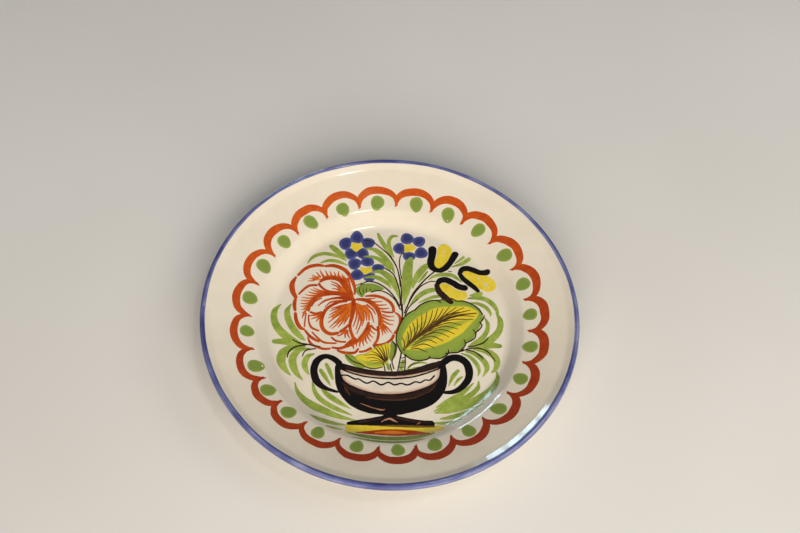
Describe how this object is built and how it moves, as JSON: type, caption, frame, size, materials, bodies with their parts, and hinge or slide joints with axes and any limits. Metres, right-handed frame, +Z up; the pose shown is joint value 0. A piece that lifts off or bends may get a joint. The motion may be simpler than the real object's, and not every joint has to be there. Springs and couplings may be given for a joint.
{
  "type": "plate",
  "caption": "Round ceramic plate with a flat well, a sloping rim with an upturned lip, a foot ring and hand painted enamel on white glaze.",
  "frame": {"origin": "centre of the foot ring, on the surface that the plate stands on", "axes": "+Z up through the centre of the plate, -Y towards the foot of the painted urn, +X to the right of the painting"},
  "size_m": [0.25, 0.25, 0.0297],
  "materials": {
    "clay": "matt",
    "white_glaze": "gloss",
    "blue_enamel": "gloss",
    "orange_enamel": "gloss",
    "green_enamel": "gloss",
    "yellow_enamel": "gloss",
    "black_enamel": "gloss",
    "brown_enamel": "gloss",
    "blush_wash": "gloss"
  },
  "bodies": {
    "root": {"clay_body": "clay", "glaze_coat": "white_glaze", "foot_glaze": "white_glaze", "rim_band": "blue_enamel", "scallop_border": "orange_enamel", "border_dots": "green_enamel", "urn_bowl": "black_enamel", "urn_panel": "blush_wash", "urn_panel_lines": "black_enamel", "urn_handle_left": "black_enamel", "urn_handle_right": "black_enamel", "urn_foot": "black_enamel", "ground_yellow": "yellow_enamel", "ground_red": "orange_enamel", "ground_green": "green_enamel", "rose_petals": "orange_enamel", "rose_hairs": "orange_enamel", "blue_petals": "blue_enamel", "flower_centres": "yellow_enamel", "tulip_hearts": "yellow_enamel", "tulip_edges": "black_enamel", "leaf_green": "green_enamel", "leaf_heart": "yellow_enamel", "leaf_lines": "brown_enamel", "small_leaf_green": "green_enamel", "small_leaf_heart": "yellow_enamel", "small_leaf_lines": "brown_enamel", "curled_leaf": "green_enamel", "curled_leaf_lines": "brown_enamel", "fronds_left": "green_enamel", "fronds_right": "green_enamel", "fronds_top": "green_enamel", "fronds_low": "green_enamel", "stalks": "green_enamel", "stems": "brown_enamel"}
  },
  "joints": []
}
